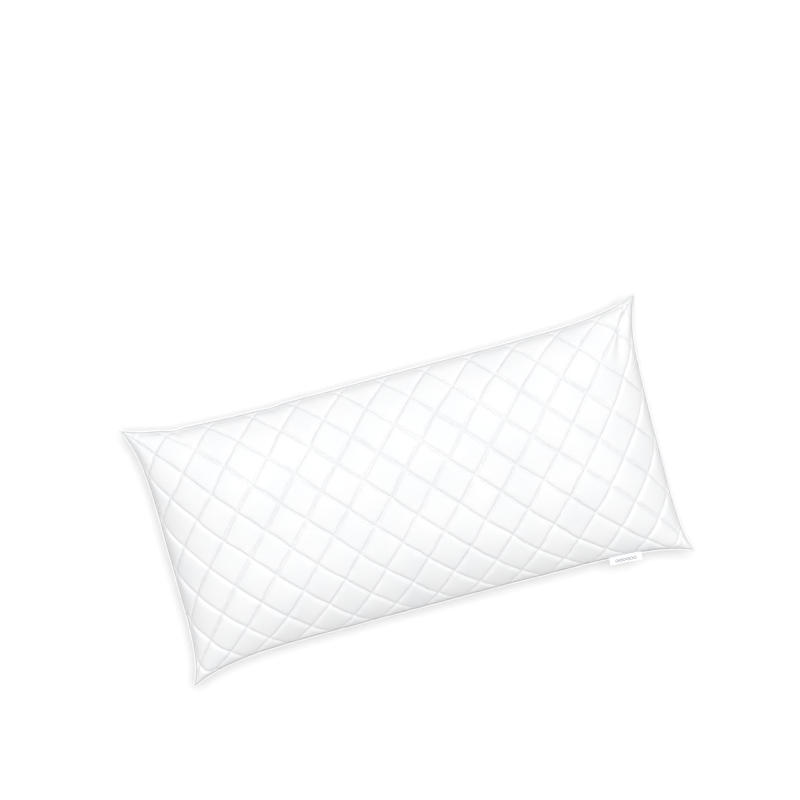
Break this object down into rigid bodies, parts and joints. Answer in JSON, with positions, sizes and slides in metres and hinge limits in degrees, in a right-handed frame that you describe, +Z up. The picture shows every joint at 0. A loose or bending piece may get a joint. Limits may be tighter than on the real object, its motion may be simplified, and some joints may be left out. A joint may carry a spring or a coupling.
{
  "type": "bed pillow",
  "caption": "Oblong bed pillow with a diamond-quilted white cover, slim piped edge, pointed corners, soft fibre filling and a small folded label in the long seam.",
  "frame": {"origin": "on the surface that the pillow rests on, below the middle of its outline", "axes": "+X along the long side, +Y away from the side that holds the label, +Z up through the thickness"},
  "size_m": [0.7964, 0.4125, 0.1493],
  "materials": {
    "face_fabric": "matte",
    "wadding": "matte",
    "backing": "matte",
    "thread": "satin",
    "fibre_fill": "matte",
    "piping_fabric": "matte",
    "piping_cord": "matte",
    "label_ribbon": "satin"
  },
  "bodies": {
    "pillow": {"top_face_fabric": "face_fabric", "top_wadding": "wadding", "top_backing": "backing", "top_quilting_thread_rising": "thread", "top_quilting_thread_falling": "thread", "bottom_face_fabric": "face_fabric", "bottom_wadding": "wadding", "bottom_backing": "backing", "bottom_quilting_thread_rising": "thread", "bottom_quilting_thread_falling": "thread", "fibre_fill": "fibre_fill", "piping_cover": "piping_fabric", "piping_cord": "piping_cord", "edge_seam_thread": "thread"},
    "label": {"woven_label": "label_ribbon"}
  },
  "joints": [
    {"name": "label_fold", "type": "hinge", "parent": "pillow", "child": "label", "pos_m": [0.28969, -0.18691, 0.073], "axis": [0.9981, -0.0614, 0], "range_deg": [-80, 80], "stiffness_Nm_per_rad": 0.002}
  ]
}
